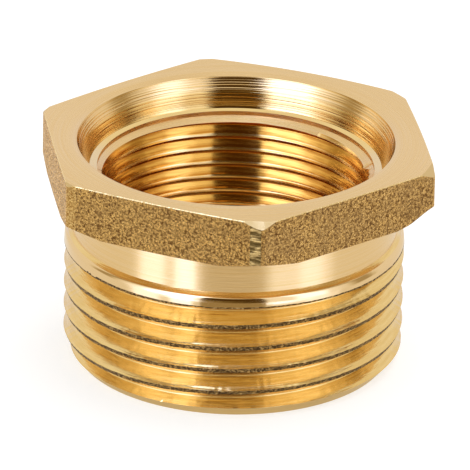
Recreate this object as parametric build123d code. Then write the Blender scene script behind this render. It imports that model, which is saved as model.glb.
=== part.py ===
from build123d import *
import math
import os

# A brass hex bushing, in millimetres. It stands on its threaded end with +Z up
# along the bore. The origin is at the bottom, on the axis, and two corners of
# the hexagon lie near the X axis.

# Hexagon head. The forging is a little out of true, so each corner has its own
# distance and angle, going round from +X, and each side bows out from the line
# between its corners.
hex_height = 5.15
hex_corner_radius = 0.6
corner_distances = (20.46, 20.11, 19.94, 19.99, 19.95, 20.32)
corner_angles = (2.7, 57.8, 121.7, 183.6, 237.8, 300.1)
side_bows = (0.2, 0.9, 0.35, 0.07, 0.4, 0.1)
top_bevel_radius = 19.65
top_bevel_angle = 38
under_bevel_radius = 18.55
under_bevel_angle = 25

# Neck between the head and the thread
neck_radius = 15.9
neck_height = 3.95
neck_foot_width = 0.35
neck_foot_height = 0.3

# Outer thread, 1 inch parallel pipe size, 11 turns to the inch
thread_radius = 16.6
thread_pitch = 25.4 / 11
thread_flank_angle = 27.5
thread_crest_flat = 0.5
thread_root_flat = 0.3
shoulder_taper_height = 1.12
end_bevel = 1.3
spigot_height = 13.25

# Upper end of the thread groove: full depth ends here, then part of a turn runs out
thread_end_below_neck = 2.25
thread_end_angle = -66
runout_turn = 0.45

# Through bore, sized to the minor diameter of a fine inner thread, M27 x 1.5
inner_thread_nominal = 27.0
inner_thread_pitch = 1.5
bore_radius = inner_thread_nominal / 2 - 0.5413 * inner_thread_pitch
mouth_bevel_depth = 0.43
bore_end_bevel = 0.5

# Stepped recess in the top face
rim_radius = 16.1
rim_bevel_width = 0.62
rim_bevel_depth = 0.14
upper_wall_run = 0.57
upper_wall_depth = 0.98
lower_wall_run = 0.69
lower_wall_depth = 1.87
seat_step = 0.43

# Heights that follow from these sizes
neck_foot_z = spigot_height
thread_end_z = neck_foot_z - thread_end_below_neck
hex_base_z = neck_foot_z + neck_height
total_height = hex_base_z + hex_height
inner_thread_radius = inner_thread_nominal / 2
hex_reach = max(corner_distances)


def hexagon_outline():
    """The six sides of the forging, each an arc through its two corners."""
    corners = [
        Vector(distance, 0, 0).rotate(Axis.Z, angle)
        for distance, angle in zip(corner_distances, corner_angles)
    ]
    sides = []
    for start, end, bow in zip(corners, corners[1:] + corners[:1], side_bows):
        outward = (end - start).normalized().cross(Vector(0, 0, 1))
        middle = (start + end) * 0.5 + outward * bow
        sides.append(ThreePointArc(start, middle, end))
    return make_face(sides)


def hexagon_head():
    """The forged hexagon, its corners turned off above and below."""
    prism = extrude(hexagon_outline(), hex_height)
    prism = fillet(prism.edges().filter_by(Axis.Z), hex_corner_radius)
    reach = hex_reach + 1
    top_drop = (reach - top_bevel_radius) * math.tan(math.radians(top_bevel_angle))
    under_rise = (reach - under_bevel_radius) * math.tan(math.radians(under_bevel_angle))
    envelope = Polyline(
        (0, 0),
        (under_bevel_radius, 0),
        (reach, under_rise),
        (reach, hex_height - top_drop),
        (top_bevel_radius, hex_height),
        (0, hex_height),
        close=True,
    )
    turned = revolve(Plane.XZ * make_face(envelope), Axis.Z)
    return Pos(0, 0, hex_base_z) * (prism & turned)


def spigot():
    """The turned body below the head: end bevel, thread blank, tapered shoulder, neck."""
    shoulder_top_z = neck_foot_z - neck_foot_height
    outline = Polyline(
        (0, 0),
        (thread_radius - end_bevel, 0),
        (thread_radius, end_bevel),
        (thread_radius, shoulder_top_z - shoulder_taper_height),
        (neck_radius + neck_foot_width, shoulder_top_z),
        (neck_radius, neck_foot_z),
        (neck_radius, hex_base_z + hex_height / 2),
        (0, hex_base_z + hex_height / 2),
        close=True,
    )
    return revolve(Plane.XZ * make_face(outline), Axis.Z)


def groove_depth():
    """Depth that the flank angle gives between the crest flat and the root flat."""
    slope = math.tan(math.radians(thread_flank_angle))
    return (thread_pitch - thread_crest_flat - thread_root_flat) / 2 / slope


def groove_section(overhang):
    """Section of the thread groove, open a little past the crest."""
    slope = math.tan(math.radians(thread_flank_angle))
    root_half = thread_root_flat / 2
    mouth_half = root_half + (groove_depth() + overhang) * slope
    section = Polyline(
        (thread_radius - groove_depth(), -root_half),
        (thread_radius + overhang, -mouth_half),
        (thread_radius + overhang, mouth_half),
        (thread_radius - groove_depth(), root_half),
        close=True,
    )
    return Plane.XZ * make_face(section)


def thread_groove():
    """The right-hand groove: whole turns at full depth, then the run-out under the neck."""
    overhang = 0.3
    section = groove_section(overhang)
    turns = math.ceil((thread_end_z + thread_pitch) / thread_pitch)
    full_height = turns * thread_pitch
    groove = sweep(section, path=Helix(thread_pitch, full_height, thread_radius), is_frenet=True)
    groove = Pos(0, 0, thread_end_z - full_height) * groove
    # the run-out widens until the groove has left the metal
    rise = thread_pitch * runout_turn
    widening = math.degrees(math.atan2(groove_depth() + overhang, rise))
    exit_path = Helix(thread_pitch, rise, thread_radius, cone_angle=widening)
    runout = Pos(0, 0, thread_end_z) * sweep(section, path=exit_path, is_frenet=True)
    return [Rot(0, 0, thread_end_angle) * cut for cut in (groove, runout)]


def bore():
    """Everything bored out along the axis: stepped recess, thread mouth, bore and end bevel."""
    lip_radius = rim_radius - rim_bevel_width
    lip_z = total_height - rim_bevel_depth
    ridge_radius = lip_radius - upper_wall_run
    ridge_z = lip_z - upper_wall_depth
    ledge_radius = ridge_radius - lower_wall_run
    ledge_z = ridge_z - lower_wall_depth
    mouth_z = ledge_z - seat_step
    outline = Polyline(
        (0, -1),
        (bore_radius + bore_end_bevel + 1, -1),
        (bore_radius, bore_end_bevel),
        (bore_radius, mouth_z - mouth_bevel_depth),
        (inner_thread_radius, mouth_z),
        (inner_thread_radius, ledge_z),
        (ledge_radius, ledge_z),
        (ridge_radius, ridge_z),
        (lip_radius, lip_z),
        (rim_radius, total_height),
        (rim_radius, total_height + 1),
        (0, total_height + 1),
        close=True,
    )
    return revolve(Plane.XZ * make_face(outline), Axis.Z)


def hex_bushing():
    body = spigot() + hexagon_head()
    for cut in thread_groove():
        body -= cut
    return body - bore()


os.makedirs("parts", exist_ok=True)
export_step(hex_bushing(), "parts/hex_bushing.step")
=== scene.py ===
import math

import bmesh
import bpy
from mathutils import Matrix, Vector, noise


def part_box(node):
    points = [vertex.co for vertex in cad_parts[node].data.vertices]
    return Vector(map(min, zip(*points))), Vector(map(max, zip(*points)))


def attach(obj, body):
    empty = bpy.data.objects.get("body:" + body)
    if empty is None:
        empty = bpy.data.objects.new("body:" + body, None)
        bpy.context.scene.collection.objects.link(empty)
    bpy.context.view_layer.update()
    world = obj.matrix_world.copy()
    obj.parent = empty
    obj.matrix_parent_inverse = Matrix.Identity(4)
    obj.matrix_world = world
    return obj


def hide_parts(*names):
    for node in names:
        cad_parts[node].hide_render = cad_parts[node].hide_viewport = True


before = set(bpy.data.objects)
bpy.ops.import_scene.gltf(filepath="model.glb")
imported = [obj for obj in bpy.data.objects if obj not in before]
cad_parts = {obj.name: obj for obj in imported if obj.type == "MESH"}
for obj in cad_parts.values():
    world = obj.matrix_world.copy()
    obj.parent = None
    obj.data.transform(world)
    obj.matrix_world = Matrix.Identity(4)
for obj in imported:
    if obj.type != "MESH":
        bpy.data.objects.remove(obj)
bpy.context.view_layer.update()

# Lengths below are in millimetres and angles in degrees, unless a comment says
# otherwise. A finished mesh is scaled to metres once, in finish_piece.
MM = 0.001
high_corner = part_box("hex_bushing")[1]
total_height = high_corner.z / MM

# Hexagon head, a little out of true. Corners go round from +X, and each side
# starts at its corner.
SIDES = 6
side_span = 360 / SIDES
hex_height = 5.15
hex_base_z = total_height - hex_height
hex_corner_radius = 0.6
corner_distances = [20.46, 20.11, 19.94, 19.99, 19.95, 20.32]
corner_angles = [2.7, 57.8, 121.7, 183.6, 237.8, 300.1]
side_bows = [0.2, 0.9, 0.35, 0.07, 0.4, 0.1]
front_corner_angle = corner_angles[5]
front_corner_reach = 10.0
top_bevel_radius = 19.65
top_bevel_slope = math.tan(math.radians(38))
under_bevel_radius = 18.55
under_bevel_slope = math.tan(math.radians(25))
edge_break = 0.07
least_facet = 0.02

# The lower edge is worn away at the right corner, and the top bevel is cut
# deeper beside the front corner. Two strips of the sides have a finish of their own.
worn_corner_angle = 2.7
worn_corner_reach = 9.0
worn_corner_rise = 0.5
front_facet_angle = 296.8
front_facet_reach = 3.6
front_facet_depth = 0.3
ridged_strip = [296.7, 299.5]
golden_strip = [237.0, 240.6]

# Neck, and the shoulder under it, which leans in, swells a little and is rounded at the top
neck_radius = 15.9
neck_foot_z = 13.25
shoulder_top_radius = 16.25
shoulder_top_z = 12.95
shoulder_start_z = 11.75
shoulder_lean = 0.05
shoulder_barrel = 0.07
shoulder_round = 0.23
shoulder_round_power = 9

# Outer thread: one groove, and the crest that it leaves. The crest is wider
# near the shoulder than near the end.
thread_radius = 16.6
thread_pitch = 25.4 / 11
thread_root_radius = 15.15
flank_slope = 1 / math.tan(math.radians(29))
root_half_flat = 0.045
crest_rounding = 0.02
crest_undercut = 0.06
crest_fall = 0.2
crest_width_high = 0.55
crest_width_low = 0.34
crest_high_z = 12.1
crest_low_z = 2.9
groove_phase_z = 11.43
end_bevel_width = 1.3
end_bevel_height = 1.5

# The groove's run-out: where full depth ends, how far round it fades, and the
# share of that where its lower edge closes
groove_end_turn = -66.0
groove_fade_turn = 162.0
fade_overshoot = 0.3
closing_start = 0.55
closing_length = 0.4
closed_half_width = 0.35
least_groove_depth = 0.02
outside_blank = thread_radius + 1
shoulder_cut = 0.3
shoulder_cut_turn = -80
shoulder_cut_fade = 70

# The raw skin on the crests, which is torn along its edges
edge_waver = 0.04
edge_waver_grain = 0.6
edge_tear = 0.03
edge_tear_grain = 0.22
skin_sink = 0.01
skin_rise = 0.03
skin_grain = 0.3

# Inner thread and bore. Its crests are a little worn.
bore_radius = 12.688
inner_major_radius = 13.5
inner_pitch = 1.5
inner_phase_z = 11.2
inner_phase_angle = 112.15
inner_crest_flat = 0.3
inner_root_flat = 0.2
inner_root_rounding = 0.04
inner_wear = 0.022
inner_waver = 0.02
inner_waver_grain = 0.8
mouth_z = 18.93
mouth_bevel_z = 18.5
mouth_finish_z = mouth_bevel_z + 0.05
mouth_burr_z = [18.2, 18.45]
bore_end_bevel = 0.5

# Stepped recess in the top face
rim_radius = 16.1
lip_radius = 15.48
lip_z = total_height - 0.14
ridge_radius = 14.75
ridge_z = 20.95
ledge_radius = 14.22
ledge_z = 19.36
ledge_dish = 0.47
wall_ridge = 0.018
wall_ridge_spacing = 0.2

# Mesh: columns round the axis, closer together at the corners of the hexagon.
# The seams are the angles where each thread's first column stands.
COLUMNS = 480
SECTORS = 24
corner_crowding = 0.6
outer_seam = 112.5 - 360.0
inner_seam = 292.5 - 360.0
weld_distance = 0.002
sharp_angle = 28

# Camera, fitted to the photograph: a long lens from 0.9 m. It aims at a point
# beside the axis, and its clip is in metres.
camera_turn = 22.15
camera_elevation = 24.506
camera_roll = 1.117
camera_distance = 900.9
camera_lens = 707.4
camera_sensor = 36
camera_clip = [0.01, 20]
aim_right = 0.062
aim_height = 12.078

# Material slots of the bushing, in the order of the mesh's face indices
FINISHES = [
    "top_face", "rim", "upper_wall", "lower_wall", "ledge", "mouth", "inner", "facet", "burr",
    "forged", "corner", "ridged", "neck", "polished", "flank", "skin", "bevel", "inner_crest",
]


def smooth_step(value):
    value = min(max(value, 0.0), 1.0)
    return value * value * (3 - 2 * value)


def polar(radius, angle, height):
    """A point at a radius and an angle in degrees."""
    turn = math.radians(angle)
    return Vector((radius * math.cos(turn), radius * math.sin(turn), height))


def rough(point, grain, shift=0.0):
    """Smooth noise between about -1 and 1, with features one grain long."""
    return noise.noise(Vector((point.x + shift, point.y - shift, point.z + 3 * shift)) / grain)


def lathe(bm, section, seam=0.0, lead=0.0):
    """Spins an open section once round the axis, and returns columns of {row: vertex}.

    A sector is spun step by step and then copied round, which is much faster than
    one long spin. A lead lifts the section by that much in the turn, so that its
    rows join the rows one turn further up.
    """
    row_layer = bm.verts.layers.int.get("row") or bm.verts.layers.int.new("row")
    column_layer = bm.verts.layers.int.get("column") or bm.verts.layers.int.new("column")
    before = set(bm.verts)
    wire = [bm.verts.new(polar(radius, seam, height)) for radius, height in section]
    for row, vertex in enumerate(wire):
        vertex[row_layer] = row
    edges = [bm.edges.new(pair) for pair in zip(wire, wire[1:])]
    steps = COLUMNS // SECTORS
    bmesh.ops.spin(
        bm, geom=wire + edges, cent=(0, 0, 0), axis=(0, 0, 1), dvec=(0, 0, lead / COLUMNS),
        angle=math.tau / SECTORS, steps=steps, use_merge=False, use_duplicate=False,
    )
    sector = [vertex for vertex in bm.verts if vertex not in before]
    sector_edges = dict.fromkeys(edge for vertex in sector for edge in vertex.link_edges)
    sector_faces = dict.fromkeys(face for vertex in sector for face in vertex.link_faces)
    bmesh.ops.spin(
        bm, geom=sector + list(sector_edges) + list(sector_faces), cent=(0, 0, 0), axis=(0, 0, 1),
        dvec=(0, 0, lead / SECTORS), angle=math.tau * (SECTORS - 1) / SECTORS, steps=SECTORS - 1,
        use_merge=False, use_duplicate=True,
    )
    made = [vertex for vertex in bm.verts if vertex not in before]
    bmesh.ops.remove_doubles(bm, verts=made, dist=weld_distance)
    made = [vertex for vertex in bm.verts if vertex not in before]
    for vertex in made:
        radius, height = section[vertex[row_layer]]
        angle = math.degrees(math.atan2(vertex.co.y, vertex.co.x)) - seam
        column = round(angle / 360 * COLUMNS) % COLUMNS
        # a whole turn up, the place is the first column's and the rows are the last column's
        if lead and vertex.co.z - height > lead * (COLUMNS - 0.5) / COLUMNS:
            column = COLUMNS
        vertex[column_layer] = column
    columns = [{} for _ in range(COLUMNS + 1)]
    for vertex in made:
        columns[vertex[column_layer]][vertex[row_layer]] = vertex
    return columns


def finish_faces(columns, seam, finish):
    """Gives each face between the columns the finish that its rows and place ask for."""
    places = {vertex: row for column in columns for row, vertex in column.items()}
    faces = {face for vertex in places for face in vertex.link_faces}
    for face in faces:
        rows = [places[vertex] for vertex in face.verts if vertex in places]
        centre = face.calc_center_median()
        angle = (math.degrees(math.atan2(centre.y, centre.x)) - seam) % 360 + seam
        face.material_index = FINISHES.index(finish(min(rows), max(rows), angle, centre))


def snap_to_crossings(points, envelope):
    """Moves the row nearest to each crossing of the thread and its envelope onto it.

    points holds [height, thread radius] for each row, and is changed in place.
    """
    gaps = [radius - envelope(height) for height, radius in points]
    for index in range(len(points) - 1):
        if gaps[index] * gaps[index + 1] < 0:
            share = gaps[index] / (gaps[index] - gaps[index + 1])
            height = points[index][0] * (1 - share) + points[index + 1][0] * share
            nearest = index if share < 0.5 else index + 1
            points[nearest] = [height, envelope(height)]


# Outer thread

def outer_envelope(height):
    """Radius of the turned blank: end bevel, cylinder, rounded shoulder."""
    if height < end_bevel_height:
        return thread_radius - end_bevel_width * (1 - max(height, 0.0) / end_bevel_height)
    if height < shoulder_start_z:
        return thread_radius
    climb = (min(height, shoulder_top_z) - shoulder_start_z) / (shoulder_top_z - shoulder_start_z)
    if climb <= 0:
        return thread_radius
    drop = shoulder_lean * climb + shoulder_barrel * climb ** 2
    return thread_radius - (drop + shoulder_round * climb ** shoulder_round_power)


def groove_height(turn):
    """Height of the groove's centre. A turn goes on over 360 as the groove climbs."""
    return groove_phase_z + thread_pitch * turn / 360


def groove_root(turn):
    """Root radius of the groove: full depth, then the run-out under the neck."""
    fade = (turn - groove_end_turn) / groove_fade_turn
    outside = thread_radius + fade_overshoot
    return thread_root_radius + max(fade, 0.0) * (outside - thread_root_radius)


def closing(turn):
    """How far the lower edge of the run-out has closed up: 0, then 1 at its end."""
    fade = (turn - groove_end_turn) / groove_fade_turn
    return smooth_step((fade - closing_start) / closing_length)


def groove_half_width(turn, side):
    """Half the width of the groove below its centre (side -1) or above it (side 1).

    In the run-out the upper edge comes down as the depth fades, and the lower one closes up.
    """
    climb = (groove_height(turn) - crest_low_z) / (crest_high_z - crest_low_z)
    share = min(max(climb, 0.0), 1.0)
    crest = crest_width_low + share * (crest_width_high - crest_width_low)
    full = (thread_pitch - crest) / 2
    depth = thread_radius - groove_root(turn)
    if side < 0:
        return full + closing(turn) * (closed_half_width - full)
    if depth <= 0:
        return full
    return max(min(full, depth / flank_slope + root_half_flat), closed_half_width)


def groove_real(turn):
    """Whether the groove still cuts the blank at this turn."""
    return groove_root(turn) < thread_radius - least_groove_depth


def groove_radius(turn, offset, half, edge_radius):
    """Radius of the groove's surface at a height offset from its centre.

    half is the distance to the edge on that side, where the flank reaches edge_radius.
    """
    if not groove_real(turn):
        return outside_blank
    flat = min(max(offset, -root_half_flat), root_half_flat)
    rise = (edge_radius - groove_root(turn)) / (half - root_half_flat)
    return groove_root(turn) + rise * abs(offset - flat)


# Rows of the thread's mesh, as shares of the way from the groove's centre to
# either edge and of the way over the crest above it
GROOVE_ROWS = [-1.0, -0.8, -0.55, -0.3, -0.12, -0.05, 0.05, 0.12, 0.35, 0.65, 1.0]
CREST_ROWS = [0.12, 0.4, 0.7]
ROWS_PER_TURN = len(GROOVE_ROWS) + len(CREST_ROWS)
FIRST_GROOVE = -5
LAST_GROOVE = 1


def outer_rows():
    """The rows from the bottom up: (groove number, place in the groove or on the crest)."""
    rows = []
    for groove in range(FIRST_GROOVE, LAST_GROOVE + 1):
        rows += [(groove, "groove", share) for share in GROOVE_ROWS]
        rows += [(groove, "crest", share) for share in CREST_ROWS]
    return rows


def crest_edge(turn, side):
    """Half width of the groove at one of its edges, a little ragged.

    The upper edge undercuts the next crest, or cuts the shoulder where no crest follows.
    """
    half = groove_half_width(turn, side)
    place = polar(thread_radius, turn, groove_height(turn) + side * half)
    if side > 0 and groove_real(turn + 360):
        half += crest_undercut
    elif side > 0:
        half += shoulder_cut * smooth_step((shoulder_cut_turn - turn) / shoulder_cut_fade)
    half += edge_waver * rough(place, edge_waver_grain)
    return half + edge_tear * rough(place, edge_tear_grain, shift=7.0)


def crest_radius(turn, share):
    """Radius across a crest, which falls away a little towards its lower edge."""
    if not groove_real(turn + 360):
        return thread_radius
    return thread_radius - crest_fall * (1 - share)


def groove_point(turn, share):
    """Height and radius of a row in the groove. The flank is rounded into the crest below."""
    half = crest_edge(turn, math.copysign(1, share))
    offset = share * half
    edge_radius = thread_radius if share < 0 else crest_radius(turn, 0)
    radius = groove_radius(turn, offset, half, edge_radius)
    if share < 0 and groove_real(turn):
        # the lesser of the flank and the crest, with a rounded change from one to the other
        gap = crest_radius(turn - 360, 1) - radius
        radius += (gap - math.hypot(gap, 2 * crest_rounding)) / 2
    if share == 1:
        radius = min(radius, crest_radius(turn, 0))
    return [groove_height(turn) + offset, radius]


def crest_point(turn, share):
    """Height and radius of a row on the crest above the groove, with its torn skin."""
    start = groove_height(turn) + crest_edge(turn, 1)
    stop = groove_height(turn + 360) - crest_edge(turn + 360, -1)
    height = start + share * (stop - start)
    radius = crest_radius(turn, share) - skin_sink
    if groove_real(turn + 360):
        radius += skin_rise * rough(polar(thread_radius, turn, height), skin_grain, shift=3.0)
    return [height, radius]


def spread_over_shoulder(points, column_number):
    """Spreads the rows above the last groove evenly over the shoulder, after a short start."""
    start_share = 0.15
    gathering = 1.5
    spread = smooth_step(column_number / COLUMNS / start_share)
    start = points[-ROWS_PER_TURN - 1][0]
    for index in range(ROWS_PER_TURN):
        climb = 1 - (1 - (index + 1) / ROWS_PER_TURN) ** gathering
        point = points[index - ROWS_PER_TURN]
        point[0] += spread * (start + climb * (shoulder_top_z - start) - point[0])


def outer_section(rows):
    """The rows at the first column, roughly: the lathe only needs them in order."""
    half_groove = 0.9
    crest = 0.5
    section = []
    for groove, kind, share in rows:
        extra = share * half_groove if kind == "groove" else half_groove + share * crest
        section.append((thread_radius, groove_height(outer_seam + 360 * groove) + extra))
    return section


def outer_thread(bm):
    """The outer thread from the end bevel to the shoulder, as one shell."""
    rows = outer_rows()
    columns = lathe(bm, outer_section(rows), outer_seam, thread_pitch)
    for number, column in enumerate(columns):
        angle = outer_seam + 360 * number / COLUMNS
        points = []
        for groove, kind, share in rows:
            place = groove_point if kind == "groove" else crest_point
            points.append(place(angle + 360 * groove, share))
        spread_over_shoulder(points, number)
        snap_to_crossings(points, outer_envelope)
        for row, vertex in column.items():
            height, radius = points[row]
            # rows past either end of the blank lie on its end ring
            if height <= 0:
                height, radius = 0.0, thread_radius
            height = min(height, shoulder_top_z)
            vertex.co = polar(min(radius, outer_envelope(height)), angle, height)

    def finish(lower, upper, angle, centre):
        groove, kind, share = rows[lower]
        turn = angle + 360 * groove
        depth = outer_envelope(centre.z) - math.hypot(centre.x, centre.y)
        if centre.z < end_bevel_height and depth < least_groove_depth:
            return "bevel"
        if not groove_real(turn) and groove_height(turn) > groove_phase_z:
            return "polished"
        if kind == "groove" and share < 1:
            return "flank"
        if not groove_real(turn + 360):
            return "skin" if share == 1 and groove_real(turn) else "polished"
        # the skin tapers off where the run-out closes
        climb = 0.0 if kind == "groove" else share
        return "skin" if climb < 1 - closing(turn + 360) else "polished"

    finish_faces(columns, outer_seam, finish)


# Inner thread

def inner_envelope(height):
    """Radius of the bored hole: end bevel, minor diameter, mouth bevel."""
    if height < bore_end_bevel:
        return bore_radius + bore_end_bevel - max(height, 0.0)
    if height < mouth_bevel_z:
        return bore_radius
    share = min((height - mouth_bevel_z) / (mouth_z - mouth_bevel_z), 1.0)
    return bore_radius + share * (inner_major_radius - bore_radius)


INNER_ROOTS = range(-13, 7)


def inner_rows():
    """Heights over a root's centre and radii: root, then the crest above it."""
    root_half = inner_root_flat / 2
    crest_half = inner_crest_flat / 2
    return [
        (-root_half, inner_major_radius - inner_root_rounding),
        (0.0, inner_major_radius),
        (root_half, inner_major_radius - inner_root_rounding),
        (inner_pitch / 2 - crest_half, bore_radius),
        (inner_pitch / 2 + crest_half, bore_radius),
    ]


def root_height(turn):
    """Height of the centre of an inner root."""
    centre = inner_phase_z - inner_pitch / 2
    return centre + inner_pitch * (turn - inner_phase_angle) / 360


def inner_thread(bm):
    """The inner thread from the end of the bore to its mouth, as one shell."""
    rows = [(root, offset, radius) for root in INNER_ROOTS for offset, radius in inner_rows()]
    crest_offset = inner_rows()[3][0]
    section = [
        (radius, root_height(inner_seam + 360 * root) + offset) for root, offset, radius in rows
    ]
    columns = lathe(bm, section, inner_seam, inner_pitch)
    for number, column in enumerate(columns):
        angle = inner_seam + 360 * number / COLUMNS
        points = []
        for root, offset, radius in rows:
            height = root_height(angle + 360 * root) + offset
            if offset > inner_pitch / 4:
                place = polar(bore_radius, angle, height)
                radius += inner_wear + inner_waver * rough(place, inner_waver_grain, shift=5.0)
            points.append([height, radius])
        snap_to_crossings(points, inner_envelope)
        for row, vertex in column.items():
            height, radius = points[row]
            if height <= 0:
                height, radius = 0.0, bore_radius
            height = min(height, mouth_z)
            vertex.co = polar(max(radius, inner_envelope(height)), angle, height)

    def finish(lower, upper, angle, centre):
        if centre.z > mouth_finish_z:
            return "mouth"
        return "inner_crest" if rows[lower][1] == crest_offset else "inner"

    finish_faces(columns, inner_seam, finish)


# Hexagon head, neck and recess

def crowded(angle, share=1.0):
    """Draws a column's angle towards the nearest corner of the hexagon, wholly or by a share."""
    wave = math.degrees(math.sin(math.radians(SIDES * angle)))
    near = angle - corner_crowding / SIDES * wave
    side = math.floor(near / side_span)
    start = corner_angles[side % SIDES]
    span = (corner_angles[(side + 1) % SIDES] - start) % 360
    drawn = start + span * (near / side_span - side)
    drawn += 360 * round((angle - drawn) / 360)
    return angle + share * (drawn - angle)


def side_circle(start, end, bow):
    """Centre and radius of the arc from one corner to the next."""
    chord = end - start
    radius = (chord.length ** 2 / 4 + bow ** 2) / (2 * bow)
    outward = chord.cross(Vector((0, 0, 1))).normalized()
    return (start + end) / 2 + outward * (bow - radius), radius


def circles_meet(first, first_radius, second, second_radius, near):
    """The crossing of two circles that lies nearest to a point."""
    apart = second - first
    along = (first_radius ** 2 - second_radius ** 2 + apart.length ** 2) / (2 * apart.length)
    across = math.sqrt(first_radius ** 2 - along ** 2)
    ahead = apart.normalized()
    aside = ahead.cross(Vector((0, 0, 1)))
    crossings = [first + ahead * along + aside * across * sign for sign in (-1, 1)]
    return min(crossings, key=lambda place: (place - near).length)


def hexagon_arcs():
    """The outline as arcs: the angle where each begins, its centre and its radius."""
    corners = [polar(*corner, 0.0) for corner in zip(corner_distances, corner_angles)]
    sides = []
    for number, bow in enumerate(side_bows):
        sides.append(side_circle(corners[number], corners[(number + 1) % SIDES], bow))
    arcs = []
    inset = hex_corner_radius
    for number, corner in enumerate(corners):
        before, before_radius = sides[number - 1]
        after, after_radius = sides[number]
        middle = circles_meet(before, before_radius - inset, after, after_radius - inset, corner)
        begins = middle + (middle - before).normalized() * inset
        ends = middle + (middle - after).normalized() * inset
        arcs.append((math.degrees(math.atan2(begins.y, begins.x)) % 360, middle, inset))
        arcs.append((math.degrees(math.atan2(ends.y, ends.x)) % 360, after, after_radius))
    arcs.sort(key=lambda arc: arc[0])
    return arcs


HEXAGON_ARCS = hexagon_arcs()


def outline_arc(angle):
    """Centre and radius of the arc of the hexagon's outline at an angle."""
    angle %= 360
    found = HEXAGON_ARCS[-1]
    for arc in HEXAGON_ARCS:
        if arc[0] <= angle:
            found = arc
    return found[1:]


def hex_radius(angle):
    """Radius of the hexagon's outline, its corners rounded."""
    centre, radius = outline_arc(angle)
    along = polar(1.0, angle % 360, 0.0).dot(centre)
    return along + math.sqrt(radius ** 2 - centre.length_squared + along ** 2)


def on_corner(angle):
    """Whether the outline at an angle belongs to a rounded corner."""
    return outline_arc(angle)[1] == hex_corner_radius


def nearness(angle, middle, reach):
    """1 at the middle angle, falling to 0 at the reach on either side of it."""
    apart = (angle - middle + 180) % 360 - 180
    return max(1 - (apart / reach) ** 2, 0)


def bevel_radius(angle):
    """Radius where the top bevel starts. It is cut a little deeper beside the front corner."""
    cut = nearness(angle, front_facet_angle, front_facet_reach)
    return top_bevel_radius - front_facet_depth * cut


# Rows of the head's mesh over each of its longer surfaces
SIDE_ROWS = 10
WALL_ROWS = 7
TOP_ROWS = 5
NECK_ROWS = 6


def head_rows():
    """Rows from the shoulder up over the head and down into the recess.

    Each row is a name and a share. The place of each row is worked out in head_point.
    """
    rows = [("shoulder", 0.0)]
    rows += [("neck", share / NECK_ROWS) for share in range(NECK_ROWS + 1)]
    rows += [("under", 0.5), ("under", 1.0), ("under_bevel", 0.0)]
    rows += [("side", share / SIDE_ROWS) for share in range(SIDE_ROWS + 1)]
    rows += [("top_bevel", 0.5), ("top_bevel", 1.0)]
    rows += [("top", share / TOP_ROWS) for share in range(1, TOP_ROWS + 1)]
    rows += [("lip", 1.0)]
    rows += [("upper_wall", share / WALL_ROWS) for share in range(1, WALL_ROWS + 1)]
    rows += [("lower_wall", share / WALL_ROWS) for share in range(1, WALL_ROWS + 1)]
    rows += [("ledge", 0.5), ("ledge", 1.0), ("step", 1.0)]
    return rows


HEAD_FINISHES = {
    "neck": "neck", "under": "neck", "under_bevel": "forged", "top": "top_face", "lip": "rim",
    "upper_wall": "upper_wall", "lower_wall": "lower_wall", "ledge": "ledge", "step": "mouth",
}


def ring_ridge(height, angle):
    """Shallow ridges that the tool left on the walls of the recess."""
    return wall_ridge * noise.noise(polar(1.0, angle, height / wall_ridge_spacing))


def wall_point(share, angle, top, foot):
    """A point of a wall of the recess, between two rings of (radius, height)."""
    radius = top[0] + share * (foot[0] - top[0])
    height = top[1] + share * (foot[1] - top[1])
    return radius + (ring_ridge(height, angle) if share < 1 else 0), angle, height


def head_point(name, share, angle):
    """Radius, angle and height of a row's point in one column."""
    if name == "shoulder":
        return shoulder_top_radius, angle, shoulder_top_z
    if name == "neck":
        return neck_radius, angle, neck_foot_z + share * (hex_base_z - neck_foot_z)
    corner_angle = crowded(angle)
    outline = hex_radius(corner_angle)
    under = min(outline, under_bevel_radius) - edge_break
    side_low = hex_base_z + edge_break + max(outline - under_bevel_radius, 0) * under_bevel_slope
    worn = nearness(corner_angle, worn_corner_angle, worn_corner_reach)
    side_low += worn_corner_rise * worn ** 2
    bevelled = bevel_radius(corner_angle)
    side_high = total_height - edge_break - max(outline - bevelled, 0) * top_bevel_slope
    top_edge = min(outline, bevelled) - edge_break
    if name == "under":
        turned = crowded(angle, share)
        return neck_radius + share * (under - neck_radius), turned, hex_base_z
    if name == "under_bevel":
        return (under + outline) / 2, corner_angle, (hex_base_z + side_low) / 2
    if name == "side":
        return outline, corner_angle, side_low + share * (side_high - side_low)
    if name == "top_bevel":
        radius = outline + share * (top_edge - outline)
        return radius, corner_angle, side_high + share * (total_height - side_high)
    if name == "top":
        turned = crowded(angle, 1 - share)
        return top_edge + share * (rim_radius - top_edge), turned, total_height
    if name == "lip":
        return lip_radius, angle, lip_z
    if name == "upper_wall":
        return wall_point(share, angle, (lip_radius, lip_z), (ridge_radius, ridge_z))
    if name == "lower_wall":
        return wall_point(share, angle, (ridge_radius, ridge_z), (ledge_radius, ledge_z))
    if name == "ledge":
        return ledge_radius + share * (inner_major_radius - ledge_radius), angle, ledge_z
    return inner_major_radius, angle, mouth_z


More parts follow.
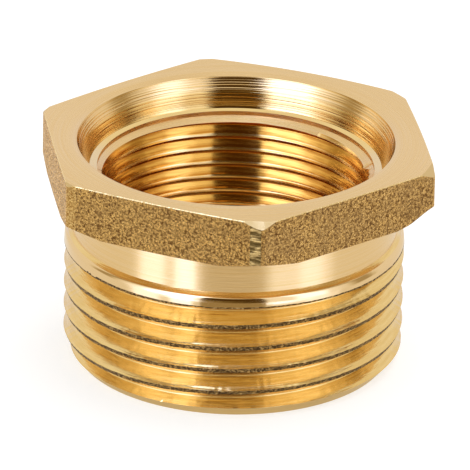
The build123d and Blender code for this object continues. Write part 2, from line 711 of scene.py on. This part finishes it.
def head(bm):
    """Neck, hexagon and recess, as one shell."""
    rows = head_rows()
    section = [(neck_radius, float(number)) for number in range(len(rows))]
    columns = lathe(bm, section)
    for number, column in enumerate(columns):
        angle = 360 * number / COLUMNS
        for row, vertex in column.items():
            vertex.co = polar(*head_point(*rows[row], angle))

    def finish(lower, upper, angle, centre):
        name, share = rows[upper]
        if name == "side" and share == 0:
            return "forged"
        if name == "side" and ridged_strip[0] < angle < ridged_strip[1]:
            return "ridged"
        if name == "side" and golden_strip[0] < angle < golden_strip[1]:
            return "corner"
        if name == "side":
            front = abs(angle - front_corner_angle) < front_corner_reach
            return "corner" if on_corner(angle) and not front else "forged"
        if name == "neck" and share == 0:
            return "flank"
        if name == "top_bevel":
            return "facet" if hex_radius(angle) > bevel_radius(angle) + least_facet else "burr"
        return HEAD_FINISHES[name]

    finish_faces(columns, 0.0, finish)


def end_face(bm):
    """The flat ring on which the fitting stands."""
    outer = thread_radius - end_bevel_width
    inner = bore_radius + bore_end_bevel
    radii = [inner + (outer - inner) * row / 2 for row in range(3)]
    columns = lathe(bm, [(radius, 0.0) for radius in radii])
    for number, column in enumerate(columns):
        for row, vertex in column.items():
            vertex.co = polar(radii[row], 360 * number / COLUMNS, 0.0)
    finish_faces(columns, 0.0, lambda lower, upper, angle, centre: "bevel")


def finish_piece(name, bm, materials):
    """Scales a mesh to metres and makes it a piece that rides on the bushing's body."""
    bmesh.ops.scale(bm, vec=(MM, MM, MM), verts=bm.verts)
    mesh = bpy.data.meshes.new(name)
    bm.to_mesh(mesh)
    bm.free()
    piece = bpy.data.objects.new(name, mesh)
    bpy.context.scene.collection.objects.link(piece)
    for material in materials:
        mesh.materials.append(material)
    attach(piece, "root")
    return piece


def bushing(materials):
    """The whole fitting: four shells that share their outer rings, welded into one."""
    bm = bmesh.new()
    outer_thread(bm)
    inner_thread(bm)
    head(bm)
    end_face(bm)
    bmesh.ops.remove_doubles(bm, verts=bm.verts, dist=weld_distance)
    bmesh.ops.dissolve_degenerate(bm, edges=bm.edges, dist=weld_distance)
    bmesh.ops.recalc_face_normals(bm, faces=bm.faces)
    for face in bm.faces:
        face.smooth = True
    # every sharp edge is shaded as one, but for the worn inner thread
    worn = {FINISHES.index("inner"), FINISHES.index("inner_crest")}
    for edge in bm.edges:
        if all(face.material_index in worn for face in edge.link_faces):
            continue
        if len(edge.link_faces) == 2 and edge.calc_face_angle(0.0) > math.radians(sharp_angle):
            edge.smooth = False
    return finish_piece("bushing", bm, materials)


# Finishes

class Wiring:
    """Adds shader nodes and joins them."""

    def __init__(self, tree):
        self.tree = tree
        tree.nodes.clear()

    def add(self, kind, inputs=None, **settings):
        node = self.tree.nodes.new(kind)
        for name, value in settings.items():
            setattr(node, name, value)
        for socket, value in (inputs or {}).items():
            if isinstance(value, bpy.types.NodeSocket):
                self.tree.links.new(value, node.inputs[socket])
            else:
                node.inputs[socket].default_value = value
        return node

    def maths(self, operation, first, second=0.0, third=0.0):
        inputs = {0: first, 1: second, 2: third}
        return self.add("ShaderNodeMath", inputs, operation=operation).outputs[0]

    def vector(self, x, y, z):
        return self.add("ShaderNodeCombineXYZ", {0: x, 1: y, 2: z}).outputs[0]

    def unit(self, vector):
        return self.add("ShaderNodeVectorMath", {0: vector}, operation="NORMALIZE").outputs[0]

    def blend_range(self, value, low, high, to_low=0.0, to_high=1.0):
        """Goes smoothly from to_low to to_high while the value goes from low to high."""
        inputs = {"Value": value, "From Min": low, "From Max": high}
        inputs.update({"To Min": to_low, "To Max": to_high})
        return self.add("ShaderNodeMapRange", inputs, interpolation_type="SMOOTHSTEP").outputs[0]

    def over_noise(self, value, to_low=0.0, to_high=1.0):
        """The same, over the range where noise mostly lies."""
        return self.blend_range(value, 0.3, 0.7, to_low, to_high)

    def between(self, value, rise, fall):
        """1 between a rise and a fall, each given by the limits of its slope, and 0 outside."""
        before, after = self.blend_range(value, *rise), self.blend_range(value, *fall)
        return self.maths("SUBTRACT", before, after)

    def noise(self, vector, scale, detail=2.0, roughness=0.5, w=None):
        inputs = {"Vector": vector, "Scale": scale, "Detail": detail, "Roughness": roughness}
        if w is None:
            return self.add("ShaderNodeTexNoise", inputs).outputs["Fac"]
        inputs["W"] = w
        return self.add("ShaderNodeTexNoise", inputs, noise_dimensions="4D").outputs["Fac"]

    def mix_colours(self, factor, first, second):
        inputs = {"Factor": factor, 6: first, 7: second}
        return self.add("ShaderNodeMix", inputs, data_type="RGBA").outputs[2]

    def bump(self, height, rise, normal=None):
        """Leans the surface as if it rose by so many millimetres over a height of 1."""
        inputs = {"Height": height, "Distance": rise * MM, "Strength": 1.0}
        if normal is not None:
            inputs["Normal"] = normal
        return self.add("ShaderNodeBump", inputs).outputs["Normal"]


class Turned(Wiring):
    """Wiring for a brass finish, with places worked out round the bushing's axis."""

    def __init__(self, name):
        self.material = bpy.data.materials.new(name)
        self.material.use_nodes = True
        super().__init__(self.material.node_tree)
        metres = self.add("ShaderNodeTexCoord").outputs["Object"]
        place = self.add("ShaderNodeVectorMath", {0: metres, "Scale": 1 / MM}, operation="SCALE")
        self.place = place.outputs[0]
        split = self.add("ShaderNodeSeparateXYZ", {0: self.place})
        self.x, self.y, self.z = split.outputs
        flat = self.vector(self.x, self.y, 0.0)
        length = self.add("ShaderNodeVectorMath", {0: flat}, operation="LENGTH")
        self.radius = length.outputs["Value"]
        ring = self.add("ShaderNodeSeparateXYZ", {0: self.unit(flat)})
        self.cosine, self.sine = ring.outputs[0], ring.outputs[1]
        self.angle = self.maths("ARCTAN2", self.y, self.x)

    def outward(self, reach, rise):
        """A vector that points out from the axis, as long as its reach, and up by its rise."""
        sides = [self.maths("MULTIPLY", side, reach) for side in (self.cosine, self.sine)]
        return self.vector(*sides, rise)

    def ring_marks(self, along, across):
        """Noise drawn out round the axis: along features a turn, across features a millimetre.

        Across runs out with the radius and, a little slower, up with the height.
        """
        height_share = 0.9
        out_and_up = self.maths("ADD", self.radius, self.maths("MULTIPLY", self.z, height_share))
        place = self.outward(along / math.tau, self.maths("MULTIPLY", out_and_up, across))
        return self.noise(place, 1.0)

    def thread_marks(self, pitch, along, across):
        """Noise drawn out along a thread: it follows the turns and closes on itself."""
        turn = self.maths("SUBTRACT", self.maths("MULTIPLY", self.z, math.tau / pitch), self.angle)
        depth = across * pitch / math.tau
        cosine = self.maths("MULTIPLY", self.maths("COSINE", turn), depth)
        sine = self.maths("MULTIPLY", self.maths("SINE", turn), depth)
        return self.noise(self.outward(along / math.tau, cosine), 1.0, w=sine)

    def brass(self, colour, roughness, normal, anisotropic=0.0):
        inputs = {"Base Color": colour, "Metallic": 1.0, "Roughness": roughness, "Normal": normal}
        inputs["Anisotropic"] = anisotropic
        if anisotropic:
            quarter_turn = 0.25
            tangent = self.add("ShaderNodeTangent", direction_type="RADIAL", axis="Z")
            inputs["Tangent"] = tangent.outputs[0]
            inputs["Anisotropic Rotation"] = quarter_turn
        shader = self.add("ShaderNodeBsdfPrincipled", inputs)
        self.add("ShaderNodeOutputMaterial", {"Surface": shader.outputs[0]})
        return self.material


WHITE = (1, 1, 1, 1)
BRASS = (0.84, 0.60, 0.31, 1)
BRASS_WARM = (0.82, 0.56, 0.25, 1)
BRASS_DEEP = (0.88, 0.64, 0.28, 1)
BRASS_PALE = (0.88, 0.64, 0.32, 1)
WALL_SHADE = (0.72, 0.44, 0.14, 1)
FLANK_SHADE = (0.82, 0.56, 0.21, 1)
# painted shade: the deep amber of the inner thread stands for the shade and the brass-in-brass
# reflections inside the bore
BORE_SHADED_AMBER = (0.78, 0.41, 0.08, 1)
AMBER_SHADE = (0.54, 0.22, 0.03, 1)
MOUTH_BURR = (0.95, 0.68, 0.30, 1)
EDGE_BURR = (0.95, 0.70, 0.32, 1)
FACET = (0.74, 0.53, 0.24, 1)
SKIN_PIT = (0.07, 0.035, 0.01, 1)
SKIN_GLINT = (0.62, 0.38, 0.12, 1)
FORGED_PIT = (0.19, 0.075, 0.013, 1)
FORGED_GLINT = (1.0, 0.57, 0.15, 1)
FORGED_PATCH = (0.40, 0.22, 0.07, 1)
CORNER_PIT = (0.5, 0.22, 0.035, 1)
CORNER_GLINT = (1.0, 0.62, 0.18, 1)
RIDGED_PIT = (0.10, 0.055, 0.012, 1)
RIDGED_GLINT = (0.55, 0.34, 0.10, 1)


def satin_brass(name, bright, warm, smooth, dull, anisotropic):
    """Brass with the fine circular marks of the lathe."""
    w = Turned(name)
    marks = w.ring_marks(along=6, across=9)
    fine = w.ring_marks(along=30, across=14)
    colour = w.mix_colours(w.over_noise(marks), bright, warm)
    return w.brass(colour, w.over_noise(fine, smooth, dull), w.bump(fine, 0.003), anisotropic)


def polished_brass():
    w = Turned("polished_brass")
    marks = w.ring_marks(along=4, across=7)
    return w.brass(BRASS, w.over_noise(marks, 0.06, 0.14), w.bump(marks, 0.006))


def wall_brass(name, bright):
    """The walls of the recess, with soft ridges that run round them."""
    w = Turned(name)
    ridges = w.ring_marks(along=1.5, across=4)
    marks = w.ring_marks(along=3, across=14)
    colour = w.mix_colours(w.over_noise(ridges), bright, WALL_SHADE)
    surface = w.bump(marks, 0.008, w.bump(ridges, 0.06))
    return w.brass(colour, w.over_noise(marks, 0.06, 0.14), surface)


def ledge_brass():
    """The narrow ledge, which is a little dished towards the bore."""
    w = Turned("ledge_brass")
    marks = w.ring_marks(along=6, across=9)
    dished = w.unit(w.outward(-ledge_dish, 1.0))
    return w.brass(BRASS_DEEP, w.over_noise(marks, 0.1, 0.16), dished)


def marked_thread(w, pitch, streaks_a_turn, bright, shade):
    """Fine marks along a thread, and its streaked colour and surface."""
    marks = w.thread_marks(pitch, along=9, across=9)
    streaks = w.thread_marks(pitch, along=streaks_a_turn, across=5)
    colour = w.mix_colours(w.blend_range(streaks, 0.35, 0.65), bright, shade)
    return marks, colour, w.bump(marks, 0.01, w.bump(streaks, 0.04))


def flank_brass():
    w = Turned("flank_brass")
    marks, colour, surface = marked_thread(w, thread_pitch, 25, BRASS_DEEP, FLANK_SHADE)
    return w.brass(colour, w.over_noise(marks, 0.13, 0.25), surface, 0.3)


def inner_brass(name, bright, shade, wear, lift):
    """The inner thread: it is worn, and shines as if it leaned less than it does."""
    w = Turned(name)
    # painted shade: the amber colours stand for the shade and the reflections of brass in brass
    # inside the bore
    marks, colour, surface = marked_thread(w, inner_pitch, 20, bright, shade)
    # ragged bright burrs where the thread meets the bevel of the mouth
    ragged = w.blend_range(w.noise(w.place, 1.6, detail=3.0), 0.5, 0.6)
    burrs = w.maths("MULTIPLY", w.blend_range(w.z, *mouth_burr_z), ragged)
    colour = w.mix_colours(burrs, colour, MOUTH_BURR)
    worn = {"Factor": wear, 4: surface, 5: w.outward(-1, lift)}
    leaning = w.add("ShaderNodeMix", worn, data_type="VECTOR").outputs[1]
    return w.brass(colour, w.over_noise(marks, 0.12, 0.22), w.unit(leaning))


def thread_skin():
    """The raw skin on the crests, pitted and dark."""
    w = Turned("thread_skin")
    grain = w.noise(w.place, 4.5, detail=3.0, roughness=0.75)
    colour = w.mix_colours(w.blend_range(grain, 0.45, 0.66), SKIN_PIT, SKIN_GLINT)
    return w.brass(colour, 0.42, w.bump(grain, 0.2))


def forged_brass(name, pit, glint, rise):
    """The forged skin: pits and glints, with broad patches of a greyer tone."""
    w = Turned(name)
    grains = w.add("ShaderNodeTexVoronoi", {"Vector": w.place, "Scale": 4.2}).outputs["Distance"]
    pits = w.noise(w.place, 4.6, detail=4.0, roughness=0.8)
    grain = w.maths("MULTIPLY_ADD", grains, -0.25, pits)
    grain = w.maths("ADD", grain, 0.13)
    broad = w.noise(w.place, 0.5, detail=3.0, roughness=0.6)
    patches = w.blend_range(broad, 0.35, 0.65, 0.0, 0.25)
    colour = w.mix_colours(w.blend_range(grain, 0.34, 0.64), pit, glint)
    colour = w.mix_colours(patches, colour, FORGED_PATCH)
    return w.brass(colour, w.blend_range(grain, 0.4, 0.6, 0.42, 0.25), w.bump(grain, rise))


def ridged_brass():
    """The front corner: dark, with short level ridges that glint."""
    w = Turned("ridged_brass")
    stretch = (0.8, 0.8, 3.0)
    sides = [w.maths("MULTIPLY", side, by) for side, by in zip((w.x, w.y, w.z), stretch)]
    ridges = w.noise(w.vector(*sides), 1.0, detail=3.0, roughness=0.6)
    colour = w.mix_colours(w.blend_range(ridges, 0.42, 0.66), RIDGED_PIT, RIDGED_GLINT)
    return w.brass(colour, 0.35, w.bump(ridges, 0.3))


def plain_brass(name, colour, roughness, scale, rise):
    """One colour, with a slightly uneven surface."""
    w = Turned(name)
    grain = w.noise(w.place, scale, detail=3.0, roughness=0.6)
    return w.brass(colour, roughness, w.bump(grain, rise))


def finishes():
    """The materials, in the order of FINISHES."""
    turned = satin_brass("turned_brass", BRASS, BRASS_WARM, 0.24, 0.34, 0.6)
    made = {
        "top_face": satin_brass("top_brass", BRASS, BRASS_WARM, 0.24, 0.34, 0.6),
        "rim": turned,
        "upper_wall": wall_brass("upper_wall_brass", BRASS),
        "lower_wall": wall_brass("lower_wall_brass", BRASS_DEEP),
        "ledge": ledge_brass(),
        "mouth": turned,
        # painted shade: the inner thread's amber colours stand for the shade in the bore; its
        # crests keep a paler brass
        "inner": inner_brass("inner_brass", BORE_SHADED_AMBER, AMBER_SHADE, wear=0.15, lift=0.0),
        "inner_crest": inner_brass("inner_crest_brass", BRASS_PALE, BORE_SHADED_AMBER, wear=0.85, lift=0.5),
        "facet": plain_brass("facet_brass", FACET, 0.42, scale=2.0, rise=0.03),
        "burr": plain_brass("burr_brass", EDGE_BURR, 0.22, scale=3.0, rise=0.08),
        "forged": forged_brass("forged_brass", FORGED_PIT, FORGED_GLINT, rise=0.5),
        "corner": forged_brass("corner_brass", CORNER_PIT, CORNER_GLINT, rise=0.4),
        "ridged": ridged_brass(),
        "neck": satin_brass("neck_brass", BRASS, BRASS_WARM, 0.16, 0.24, 0.7),
        "polished": polished_brass(),
        "flank": flank_brass(),
        "skin": thread_skin(),
        "bevel": satin_brass("bevel_brass", BRASS_WARM, BRASS_DEEP, 0.28, 0.4, 0.4),
    }
    return [made[name] for name in FINISHES]


# Studio

def camera_axes():
    """The camera's directions: right on the level, and its own right, up and forward."""
    turn = math.radians(camera_turn)
    tilt = math.radians(camera_elevation)
    level_right = Vector((math.cos(turn), math.sin(turn), 0))
    level = math.cos(tilt)
    forward = Vector((-math.sin(turn) * level, math.cos(turn) * level, -math.sin(tilt)))
    level_up = level_right.cross(forward)
    roll = math.radians(camera_roll)
    right = level_right * math.cos(roll) + level_up * math.sin(roll)
    up = level_up * math.cos(roll) - level_right * math.sin(roll)
    return level_right, right, up, forward


def add_camera():
    level_right, right, up, forward = camera_axes()
    aim = level_right * aim_right + Vector((0, 0, aim_height))
    place = (aim - forward * camera_distance) * MM
    data = bpy.data.cameras.new("camera")
    data.lens = camera_lens
    data.sensor_width = camera_sensor
    data.clip_start, data.clip_end = camera_clip
    camera = bpy.data.objects.new("camera", data)
    axes = Matrix((right, up, -forward)).transposed()
    camera.matrix_world = Matrix.Translation(place) @ axes.to_4x4()
    bpy.context.scene.collection.objects.link(camera)
    bpy.context.scene.camera = camera


# What shiny metal sees round it. Turns are degrees from the camera's side of the
# bushing, to the right, and heights are degrees over the horizon. A box is its
# rise and its fall, each from where to where, and how much brightness it adds.
WALL_BOXES = [
    ((-80, -62), (-22.2, -20.8), 0.55),
    ((-63, -57), (-29, -23), 0.75),
    ((21.8, 23.2), (64, 82), 0.2),
    ((38, 46), (60, 68), 0.6),
]
TABLE_STRIPS = [
    ((-44, -40), (-29, -25), 1.0),
    ((-73, -67), (-53, -47), 0.75),
    ((23, 29), (71, 77), 0.4),
    ((44, 52), (62, 70), 0.4),
    ((-77, -71), (-29, -23), 0.25),
]
SIDE_GAP = ((79, 91), (98, 110))
FRONT_SLOT = ((-1.7, -0.3), (20.8, 22.2))
FAR_EDGE = ((-12.5, -10.5), (-8.5, -6.5))
FAR_END = ((146, 154), (168, 176))
FAR_END_HEIGHT = ((-7, 3), (25, 35))
wall_level = 0.92
wall_gap_gain = -0.46
wall_slot_gain = -0.84
table_level = 0.9
table_slot_gain = -0.08
table_dim_gain = -0.32
table_shade_gain = -0.45


def add_boxes(w, level, turn, boxes):
    for rise, fall, gain in boxes:
        level = w.maths("MULTIPLY_ADD", w.between(turn, rise, fall), gain, level)
    return level


def studio_walls(w, turn, away, slot):
    """Brightness over the horizon: boxes, a gap on each side and the dark slot in front."""
    level = add_boxes(w, wall_level, turn, WALL_BOXES)
    level = w.maths("MULTIPLY_ADD", w.between(away, *SIDE_GAP), wall_gap_gain, level)
    return w.maths("MULTIPLY_ADD", slot, wall_slot_gain, level)


def studio_table(w, turn, away, height, middle, slot):
    """Brightness under the horizon: the boxes mirrored in the table, and its shaded parts."""
    strips = add_boxes(w, 0.0, turn, TABLE_STRIPS)
    low_strips = w.blend_range(height, -27, -36, 0.6, 1.0)
    level = w.maths("MULTIPLY_ADD", strips, low_strips, table_level)
    level = w.maths("MULTIPLY_ADD", slot, table_slot_gain, level)
    # painted shadow of the bushing: the table is dimmer right under it and behind it
    under = w.blend_range(height, -38, -56)
    behind = w.maths("MULTIPLY", w.blend_range(height, -24, -36), w.blend_range(away, 140, 158))
    dim = w.maths("MAXIMUM", under, behind)
    level = w.maths("MULTIPLY", level, w.maths("MULTIPLY_ADD", dim, table_dim_gain, 1.0))
    # shaded under the slot, with a bright far edge on either side of it
    shade = w.maths("MULTIPLY", middle, w.blend_range(height, -22, -19))
    level = w.maths("MULTIPLY_ADD", shade, table_shade_gain, level)
    beside = w.maths("SUBTRACT", w.blend_range(away, 60, 30), middle)
    far_edge = w.maths("MULTIPLY", w.between(height, *FAR_EDGE), beside)
    return w.maths("ADD", far_edge, level)


def studio_colour(w, level, away, height):
    """Dim parts of the studio are warmer than its white boxes, and its far end is cooler."""
    red, green, blue = [w.maths("POWER", level, power) for power in (1.0, 1.25, 1.9)]
    far_end = w.between(away, *FAR_END)
    cool = w.maths("MULTIPLY", far_end, w.between(height, *FAR_END_HEIGHT))
    red = w.maths("MULTIPLY", red, w.maths("MULTIPLY_ADD", cool, -0.06, 1.0))
    blue = w.maths("MULTIPLY", blue, w.maths("MULTIPLY_ADD", cool, 0.35, 1.0))
    return w.vector(red, green, blue)


def add_world():
    """A white studio. Shiny metal also sees its soft boxes and the dark slot in front."""
    world = bpy.data.worlds.new("studio")
    world.use_nodes = True
    bpy.context.scene.world = world
    w = Wiring(world.node_tree)
    direction = w.add("ShaderNodeTexCoord").outputs["Generated"]
    level_right, _, _, forward = camera_axes()
    level_front = Vector((-forward.x, -forward.y, 0)).normalized()

    def along(axis):
        inputs = {0: direction, 1: axis}
        return w.add("ShaderNodeVectorMath", inputs, operation="DOT_PRODUCT").outputs["Value"]

    side = along(level_right)
    front = along(level_front)
    rise = along(Vector((0, 0, 1)))
    turn = w.maths("MULTIPLY", w.maths("ARCTAN2", side, front), math.degrees(1))
    height = w.maths("MULTIPLY", w.maths("ARCSINE", rise), math.degrees(1))
    away = w.maths("ABSOLUTE", turn)

    middle = w.between(away, *FRONT_SLOT)
    slot = w.maths("MULTIPLY", middle, w.blend_range(height, 55, 45))
    walls = studio_walls(w, turn, away, slot)
    table = studio_table(w, turn, away, height, middle, slot)
    standing = w.blend_range(height, -8, -4)
    level = w.add("ShaderNodeMix", {0: standing, 2: table, 3: walls}).outputs[0]
    studio = studio_colour(w, level, away, height)

    # matt surfaces see plain white walls, and the camera a white background
    path = w.add("ShaderNodeLightPath")
    mirrored = w.mix_colours(path.outputs["Is Glossy Ray"], (0.8, 0.8, 0.8, 1), studio)
    seen = w.mix_colours(path.outputs["Is Camera Ray"], mirrored, WHITE)
    background = w.add("ShaderNodeBackground", {"Color": seen, "Strength": 1.0})
    w.add("ShaderNodeOutputWorld", {"Surface": background.outputs[0]})


def add_lamp():
    """A soft box over the table, for the shadow. Its size and place are in metres."""
    data = bpy.data.lights.new("soft_box", "AREA")
    data.shape = "SQUARE"
    data.size = 0.7
    data.energy = 3.0
    lamp = bpy.data.objects.new("soft_box", data)
    lamp.location = (0.1, 0.15, 0.9)
    lamp.rotation_euler = (-lamp.location).to_track_quat("-Z", "Y").to_euler()
    lamp.visible_glossy = False
    bpy.context.scene.collection.objects.link(lamp)


def add_floor():
    """A white table. The camera sees it lit, and shiny metal sees the studio through it."""
    bm = bmesh.new()
    bmesh.ops.create_grid(bm, x_segments=1, y_segments=1, size=4.0)
    mesh = bpy.data.meshes.new("floor")
    bm.to_mesh(mesh)
    bm.free()
    floor = bpy.data.objects.new("floor", mesh)
    bpy.context.scene.collection.objects.link(floor)
    material = bpy.data.materials.new("floor_white")
    material.use_nodes = True
    w = Wiring(material.node_tree)
    path = w.add("ShaderNodeLightPath").outputs
    seen = w.maths("MULTIPLY", path["Is Camera Ray"], 0.62)
    matt = w.add("ShaderNodeBsdfDiffuse", {"Color": (0.5, 0.5, 0.5, 1)})
    white = w.add("ShaderNodeEmission", {"Color": WHITE, "Strength": seen})
    both = w.add("ShaderNodeAddShader", {0: matt.outputs[0], 1: white.outputs[0]})
    # painted shade: under the bore the floor is dark, also to shiny metal
    place = w.add("ShaderNodeTexCoord").outputs["Object"]
    from_axis = w.add("ShaderNodeVectorMath", {0: place}, operation="LENGTH").outputs["Value"]
    bore_edge = [share * bore_radius * MM for share in (0.9, 1.1)]
    shade = w.blend_range(from_axis, *bore_edge, 0.3, 1.0)
    unseen = w.add("ShaderNodeBsdfTransparent", {"Color": shade})
    shaders = {0: path["Is Glossy Ray"], 1: both.outputs[0], 2: unseen.outputs[0]}
    surface = w.add("ShaderNodeMixShader", shaders)
    w.add("ShaderNodeOutputMaterial", {"Surface": surface.outputs[0]})
    mesh.materials.append(material)


piece = bushing(finishes())
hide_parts("hex_bushing")
add_camera()
add_world()
add_lamp()
add_floor()
bpy.context.scene.view_settings.view_transform = "Standard"
